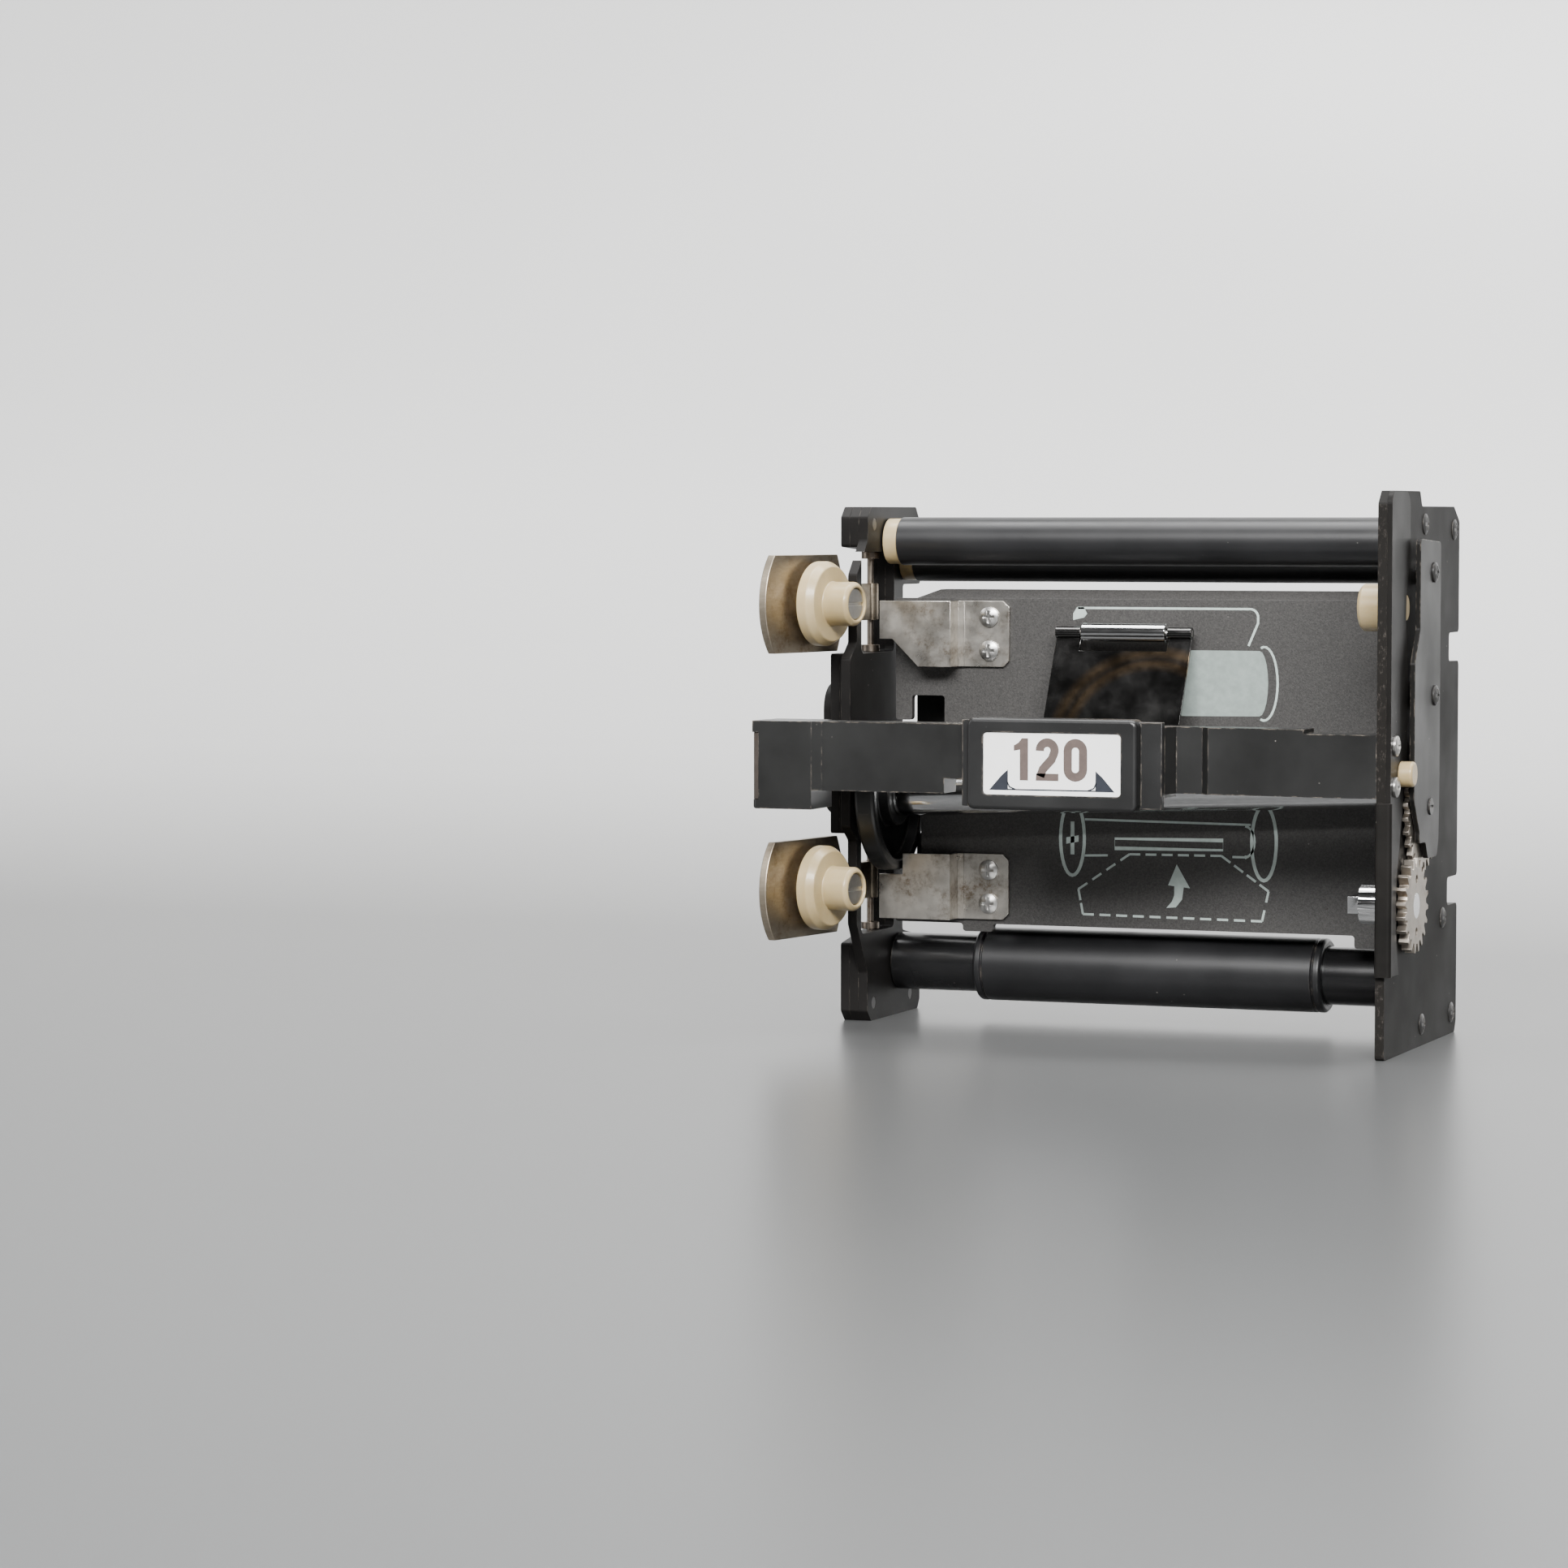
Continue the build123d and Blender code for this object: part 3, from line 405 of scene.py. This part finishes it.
# quads that follow a line of points with a constant width, mitred at the corners
def strokeOutlines(points, width, closed=False):
    count = len(points)
    sides = []
    for k in range(count):
        before = points[(k - 1) % count] if closed or k else points[k]
        after = points[(k + 1) % count] if closed or k < count - 1 else points[k]
        dx, dz = after[0] - before[0], after[1] - before[1]
        size = math.hypot(dx, dz) or 1
        nx, nz = -dz / size, dx / size
        turn = 1.0
        if 0 < k < count - 1 or closed:
            ax, az = points[k][0] - before[0], points[k][1] - before[1]
            half = abs((ax * dx + az * dz) / ((math.hypot(ax, az) or 1) * size))
            turn = 1 / max(half, 0.6)
        sides.append(((points[k][0] + nx * width / 2 * turn, points[k][1] + nz * width / 2 * turn),
                      (points[k][0] - nx * width / 2 * turn, points[k][1] - nz * width / 2 * turn)))
    last = count if closed else count - 1
    quads = []
    for k in range(last):
        a, b = sides[k], sides[(k + 1) % count]
        quads.append([a[0], b[0], b[1], a[1]])
    return quads


def arc(cx, cz, rx, rz, start, end, steps=12):
    out = []
    for k in range(steps + 1):
        angle = math.radians(start + (end - start) * k / steps)
        out.append((cx + rx * math.cos(angle), cz + rz * math.sin(angle)))
    return out


# a node tree that lays dashes along every straight line, from corner to corner
def dashTree():
    tree = bpy.data.node_groups.new("dashedLine", "GeometryNodeTree")
    face = tree.interface
    face.new_socket("Lines", in_out="INPUT", socket_type="NodeSocketGeometry")
    for title in ("Dash", "Gap", "Width", "Depth"):
        face.new_socket(title, in_out="INPUT", socket_type="NodeSocketFloat")
    face.new_socket("Ink", in_out="INPUT", socket_type="NodeSocketMaterial")
    face.new_socket("Dashes", in_out="OUTPUT", socket_type="NodeSocketGeometry")
    given = tree.nodes.new("NodeGroupInput").outputs
    curve = tree.nodes.new("GeometryNodeMeshToCurve")
    tree.links.new(given["Lines"], curve.inputs["Mesh"])
    whole = tree.nodes.new("GeometryNodeSplineLength").outputs["Length"]
    room = calculate(tree, "SUBTRACT", whole, given["Dash"])
    step = calculate(tree, "ADD", given["Dash"], given["Gap"])
    count = calculate(tree, "ADD", calculate(tree, "ROUND", calculate(tree, "DIVIDE", room, step), 0.0), 1.0)
    half = calculate(tree, "MULTIPLY", given["Dash"], 0.5)
    trim = tree.nodes.new("GeometryNodeTrimCurve")
    trim.mode = "LENGTH"
    sockets = {socket.identifier: socket for socket in trim.inputs}
    tree.links.new(half, sockets["Start_001"])
    tree.links.new(calculate(tree, "SUBTRACT", whole, half), sockets["End_001"])
    # the count is kept on the line before its ends are trimmed
    keep = tree.nodes.new("GeometryNodeStoreNamedAttribute")
    keep.data_type = "FLOAT"
    keep.domain = "CURVE"
    keep.inputs["Name"].default_value = "dashCount"
    tree.links.new(curve.outputs["Curve"], keep.inputs["Geometry"])
    tree.links.new(count, keep.inputs["Value"])
    tree.links.new(keep.outputs["Geometry"], sockets["Curve"])
    kept = tree.nodes.new("GeometryNodeInputNamedAttribute")
    kept.data_type = "FLOAT"
    kept.inputs["Name"].default_value = "dashCount"
    spaced = tree.nodes.new("GeometryNodeResampleCurve")
    spaced.mode = "COUNT"
    tree.links.new(trim.outputs["Curve"], spaced.inputs["Curve"])
    tree.links.new(kept.outputs["Attribute"], spaced.inputs["Count"])
    size = tree.nodes.new("ShaderNodeCombineXYZ")
    for axis, title in (("X", "Dash"), ("Y", "Depth"), ("Z", "Width")):
        tree.links.new(given[title], size.inputs[axis])
    dash = tree.nodes.new("GeometryNodeMeshCube")
    tree.links.new(size.outputs["Vector"], dash.inputs["Size"])
    turn = tree.nodes.new("FunctionNodeAlignRotationToVector")
    turn.axis = "X"
    turn.pivot_axis = "Y"
    tree.links.new(tree.nodes.new("GeometryNodeInputTangent").outputs["Tangent"], turn.inputs["Vector"])
    laid = tree.nodes.new("GeometryNodeInstanceOnPoints")
    tree.links.new(spaced.outputs["Curve"], laid.inputs["Points"])
    tree.links.new(dash.outputs["Mesh"], laid.inputs["Instance"])
    tree.links.new(turn.outputs["Rotation"], laid.inputs["Rotation"])
    real = tree.nodes.new("GeometryNodeRealizeInstances")
    tree.links.new(laid.outputs["Instances"], real.inputs["Geometry"])
    inked = tree.nodes.new("GeometryNodeSetMaterial")
    tree.links.new(real.outputs["Geometry"], inked.inputs["Geometry"])
    tree.links.new(given["Ink"], inked.inputs["Material"])
    leave = tree.nodes.new("NodeGroupOutput")
    tree.links.new(inked.outputs["Geometry"], leave.inputs["Dashes"])
    return tree


# the dashed lines as one plain mesh
def dashedPiece(name, lines, front, sizes, mat, body):
    mesh = bpy.data.meshes.new(name + "_lines")
    verts, edges = [], []
    for points in lines:
        for start, end in zip(points, points[1:]):
            edges.append((len(verts), len(verts) + 1))
            verts += [(x * mm, (front - sizes["inkDepth"] / 2) * mm, z * mm) for x, z in (start, end)]
    mesh.from_pydata(verts, edges, [])
    draft = bpy.data.objects.new(name + "_draft", mesh)
    bpy.context.collection.objects.link(draft)
    layer = draft.modifiers.new("dashes", "NODES")
    layer.node_group = dashTree()
    values = {"Dash": sizes["dash"] * mm, "Gap": sizes["gap"] * mm, "Width": sizes["line"] * mm,
              "Depth": sizes["inkDepth"] * mm, "Ink": mat}
    for socket in layer.node_group.interface.items_tree:
        if socket.in_out == "INPUT" and socket.name in values:
            layer[socket.identifier] = values[socket.name]
    final = bpy.data.meshes.new_from_object(draft.evaluated_get(bpy.context.evaluated_depsgraph_get()))
    bpy.data.objects.remove(draft)
    piece = bpy.data.objects.new(name, final)
    bpy.context.collection.objects.link(piece)
    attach(piece, body)
    print("dashes laid", len(final.polygons) // 6)


# sizes in millimetres; the pictures are drawn about a line this far from the panel's right edge
threading = {"fromRight": 35.0, "line": 0.28, "inkDepth": 0.02, "dash": 1.4, "gap": 0.75}


# the loading diagrams printed on the panel: a roll above, a take-up spool and the film's leader below
def printDiagrams():
    low, high = nodeBox("back_panel")
    panelFront = low.y / mm
    across = high.x / mm - threading["fromRight"]
    line = threading["line"]
    ink = printInk("panelInk", (0.42, 0.49, 0.46))
    rollInk = printInk("rollInk", (0.25, 0.295, 0.275))

    def at(points):
        return [(x + across, z) for x, z in points]

    shapes = []
    # upper picture
    tail = [(13.7, 50.2), (12.5, 47.4)]
    shapes += strokeOutlines(at([(-9.4, 51.9)] + arc(12.7, 50.9, 1.0, 1.0, 90, 0, 6) + tail), line)
    shapes.append(at([(-10.0, 50.4), (-10.0, 51.2), (-9.5, 52.0), (-8.6, 52.0), (-8.2, 51.2), (-8.6, 50.7)]))
    roll = at([(3.3, 38.7)] + arc(13.9, 42.8, 1.1, 4.0, -90, 90, 10) + [(3.3, 46.8)])
    shapes += strokeOutlines(at(arc(14.5, 42.8, 1.7, 4.5, -105, 105, 18)), line)
    # lower picture: spool
    for cx in (-10.0, 14.6):
        shapes += strokeOutlines(at(arc(cx, 23.3, 1.55, 4.6, 0, 360, 32)[:-1]), line * 1.5, True)
    shapes.append(at([(-10.25, 21.3), (-9.75, 21.3), (-9.75, 25.4), (-10.25, 25.4)]))
    shapes.append(at([(-10.8, 22.6), (-9.2, 22.9), (-9.2, 23.7), (-10.8, 23.4)]))
    shapes += strokeOutlines(at([(-8.4, 25.7), (12.9, 25.5)]), line)
    shapes += strokeOutlines(at([(-8.5, 21.2), (-5.4, 21.3)]), line)
    shapes += strokeOutlines(at([(10.6, 21.5), (12.2, 21.5)] + arc(12.2, 23.4, 1.2, 1.9, -90, 90, 10)), line)
    shapes += strokeOutlines(at([(-4.5, 22.2), (9.4, 22.3), (9.4, 23.5), (-4.5, 23.4)]), line, True)
    # the leader's outline, and the arrow
    corners = [(-2.6, 21.5), (9.2, 21.6), (15.2, 17.4), (14.4, 13.7), (-8.6, 13.9), (-9.2, 17.0),
               (-2.6, 21.5)]
    shapes.append(at([(2.2, 15.0), (3.4, 15.1), (4.2, 16.1), (4.4, 17.6), (5.2, 17.5), (3.5, 20.4),
                      (2.4, 17.8), (3.2, 17.7), (3.2, 16.6), (2.9, 15.8)]))
    flatPiece("panel_diagrams", shapes, panelFront, threading["inkDepth"], ink, "frame")
    flatPiece("film_roll_print", [roll], panelFront, threading["inkDepth"], rollInk, "frame")
    dashedPiece("leader_dashes", [at(corners)], panelFront, threading, ink, "frame")
    print("diagrams printed", len(shapes))


filmSize = {"numeralHeight": 5.0, "stroke": 1.02, "inkDepth": 0.02}


# the numerals 120 and two corner marks on the white plate
def printFilmSize():
    low, high = nodeBox("film_size_plate")
    front = low.y / mm
    left, right = low.x / mm, high.x / mm
    base = low.z / mm
    middle = (left + right) / 2
    ink = printInk("numeralInk", (0.115, 0.088, 0.078), 0.35)
    blue = printInk("markInk", (0.02, 0.023, 0.032), 0.4)
    tall, bar = filmSize["numeralHeight"], filmSize["stroke"]
    floor = base + 1.75
    shapes = []
    one = middle - 3.55
    shapes.append([(one - bar / 2 + 0.1, floor), (one + bar / 2 + 0.1, floor),
                   (one + bar / 2 + 0.1, floor + tall),
                   (one - bar / 2 + 0.35, floor + tall), (one - bar / 2 - 0.1, floor + tall - 0.55),
                   (one - bar / 2 - 0.65, floor + tall - 0.85), (one - bar / 2 - 0.65, floor + tall - 1.5),
                   (one - bar / 2 + 0.1, floor + tall - 1.35)])
    two = middle - 0.55
    bowl = arc(two, floor + tall - 1.38, 0.92, 0.92, 185, -25, 14)
    hook = bowl + [(two + 0.55, floor + 2.55), (two - 0.55, floor + 1.35), (two - 0.86, floor + 0.5)]
    shapes += strokeOutlines(hook, bar)
    shapes.append([(two - 1.42, floor), (two + 1.4, floor), (two + 1.4, floor + 0.86),
                   (two - 1.36, floor + 0.86)])
    nought = middle + 2.95
    ring = arc(nought, floor + tall - 1.4, 0.95, 0.92, 0, 180, 10)
    ring += arc(nought, floor + 1.4, 0.95, 0.92, 180, 360, 10)
    shapes += strokeOutlines(ring, bar, True)
    flatPiece("film_size_numerals", shapes, front, filmSize["inkDepth"], ink, "frame")
    marks = []
    for side in (-1, 1):
        edge = middle + side * (right - left) / 2
        marks.append([(edge - side * 0.75, base + 0.55), (edge - side * 3.1, base + 0.55),
                      (edge - side * 3.1, base + 3.0), (edge - side * 2.3, base + 2.3)])
        marks += strokeOutlines([(edge - side * 3.0, base + 1.6), (edge - side * 3.3, base + 0.95),
                                 (edge - side * 4.0, base + 0.68)], 0.16)
    marks += strokeOutlines([(left + 3.0, base + 0.64), (right - 3.0, base + 0.64)], 0.16)
    flatPiece("film_size_marks", marks, front, filmSize["inkDepth"], blue, "frame")
    print("film size printed")


printDiagrams()
printFilmSize()


studio = {"lens": 109.9, "sensor": 36, "place": (0.17631, -0.55802, 0.06311), "turn": 21.5, "dip": 3.19,
          "aim": (0, 0, 0.03), "backdrop": (-0.2, 0.9, 0.3), "worldGrey": 0.05}
# place, size and power of each soft light
softLights = {
    "frontSoftbox": ((0.35, -1.05, 0.68), (1.1, 0.32), 52.0),
    "topSoftbox": ((0.05, -0.15, 0.95), (0.8, 0.5), 10.0),
    "leftSoftbox": ((-0.8, -0.5, 0.4), (0.4, 0.8), 3.5),
    "rightSoftbox": ((1.0, -0.3, 0.3), (0.5, 0.8), 0.5),
    "backdropWash": ((0.0, 0.3, 1.3), (1.6, 0.4), 33.0),
}
# the last two entries bound the painted shade that darkens the floor towards the front
sweep = {"front": -1.2, "bend": 0.55, "radius": 0.35, "height": 1.8, "halfWidth": 2.2, "steps": 12,
         "paintedShadeFrom": -0.15, "paintedShadeTo": 0.75}


def areaLight(name, place, aim, size, power):
    data = bpy.data.lights.new(name, "AREA")
    data.shape = "RECTANGLE"
    data.size, data.size_y = size
    data.energy = power
    lamp = bpy.data.objects.new(name, data)
    bpy.context.collection.objects.link(lamp)
    lamp.location = place
    lamp.rotation_euler = (Vector(aim) - Vector(place)).to_track_quat("-Z", "Y").to_euler()


# a swept paper floor that curves up into the backdrop, with painted shade darkening it towards the front
def sweptFloor():
    bend, radius = sweep["bend"], sweep["radius"]
    profile = [(sweep["front"], 0.0), (bend, 0.0)]
    for step in range(1, sweep["steps"] + 1):
        angle = math.radians(90 * step / sweep["steps"])
        profile.append((bend + radius * math.sin(angle), radius * (1 - math.cos(angle))))
    profile.append((bend + radius, sweep["height"]))
    verts = [(x, y, z) for x in (-sweep["halfWidth"], sweep["halfWidth"]) for y, z in profile]
    count = len(profile)
    faces = [(k, k + count, k + count + 1, k + 1) for k in range(count - 1)]
    mesh = bpy.data.meshes.new("sweptFloor")
    mesh.from_pydata(verts, [], faces)
    for face in mesh.polygons:
        face.use_smooth = True
    floor = bpy.data.objects.new("sweptFloor", mesh)
    bpy.context.collection.objects.link(floor)
    mat, tree, shader, coords = newMaterial("paperSweep", (0.6, 0.6, 0.605), 0.3)
    split = tree.nodes.new("ShaderNodeSeparateXYZ")
    tree.links.new(coords, split.inputs[0])
    depth = tree.nodes.new("ShaderNodeMapRange")
    depth.inputs["From Min"].default_value = sweep["paintedShadeFrom"]
    depth.inputs["From Max"].default_value = sweep["paintedShadeTo"]
    tree.links.new(split.outputs["Y"], depth.inputs["Value"])
    # painted shade: the paper's colour runs from dark at the front to pale at the back
    paintedShadeRamp = ramp(tree, depth.outputs["Result"],
                [(0.0, (0.06, 0.062, 0.063)), (0.3, (0.085, 0.085, 0.085)), (1.0, (0.66, 0.66, 0.655))])
    patches = ramp(tree, noise(tree, coords, 5, 3), [(0.35, (0.97, 0.97, 0.97)), (0.7, (1, 1, 1))])
    shade = tree.nodes.new("ShaderNodeMix")
    shade.data_type = "RGBA"
    shade.blend_type = "MULTIPLY"
    sockets = {socket.identifier: socket for socket in shade.inputs}
    sockets["Factor_Float"].default_value = 1
    tree.links.new(paintedShadeRamp, sockets["A_Color"])
    tree.links.new(patches, sockets["B_Color"])
    shaded = [out for out in shade.outputs if out.identifier == "Result_Color"][0]
    tree.links.new(shaded, shader.inputs["Base Color"])
    floor.data.materials.append(mat)


def lightStudio():
    for name, (place, size, power) in softLights.items():
        aim = studio["backdrop"] if name == "backdropWash" else studio["aim"]
        areaLight(name, place, aim, size, power)
    world = bpy.data.worlds.new("softRoom")
    world.use_nodes = True
    world.node_tree.nodes["Background"].inputs["Color"].default_value = (1, 1, 1, 1)
    world.node_tree.nodes["Background"].inputs["Strength"].default_value = studio["worldGrey"]
    bpy.context.scene.world = world


def placeCamera():
    data = bpy.data.cameras.new("standCamera")
    data.lens = studio["lens"]
    data.sensor_width = studio["sensor"]
    data.clip_start = 0.01
    camera = bpy.data.objects.new("standCamera", data)
    bpy.context.collection.objects.link(camera)
    camera.location = studio["place"]
    camera.rotation_euler = (math.radians(90 - studio["dip"]), 0, math.radians(studio["turn"]))
    bpy.context.scene.camera = camera


sweptFloor()
lightStudio()
placeCamera()
print("studio ready")
